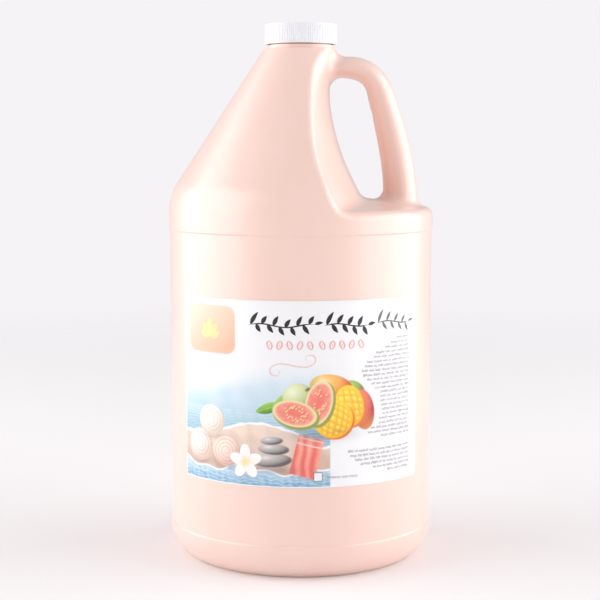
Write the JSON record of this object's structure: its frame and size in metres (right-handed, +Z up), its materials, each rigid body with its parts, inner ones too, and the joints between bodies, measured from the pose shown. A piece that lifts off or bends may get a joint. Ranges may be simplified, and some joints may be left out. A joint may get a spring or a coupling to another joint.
{
  "type": "handled lotion jug",
  "caption": "Round blow-moulded jug with a hollow side handle, a threaded neck, a lined screw cap, a front label and a lotion fill.",
  "frame": {"origin": "centre of the base, on the surface the jug stands on", "axes": "+Z up through the neck along the jug's axis, +X towards the handle, -Y out of the front label"},
  "size_m": [0.1524, 0.1524, 0.3051],
  "materials": {
    "jug": "satin natural HDPE, tinted by the lotion behind it",
    "cap": "satin white polypropylene",
    "liner": "matt foamed polyethylene",
    "label": "semi-gloss printed white film",
    "lotion": "smooth peach lotion"
  },
  "bodies": {
    "jug": {"jug_body": "jug", "front_label": "label", "lotion_fill": "lotion"},
    "liner": {"cap_liner": "liner"},
    "cap": {"screw_cap": "cap"}
  },
  "joints": [
    {"name": "cap_rise", "type": "slide", "parent": "jug", "child": "liner", "axis": [0, 0, 1], "range_m": [0, 0.01485]},
    {"name": "cap_turn", "type": "hinge", "parent": "liner", "child": "cap", "pos_m": [0, 0, 0.2995], "axis": [0, 0, 1], "range_deg": [0, 1260]}
  ],
  "couplings": [
    {"joint": "cap_rise", "follows": "cap_turn", "m_per_rad": 0.00067376}
  ]
}
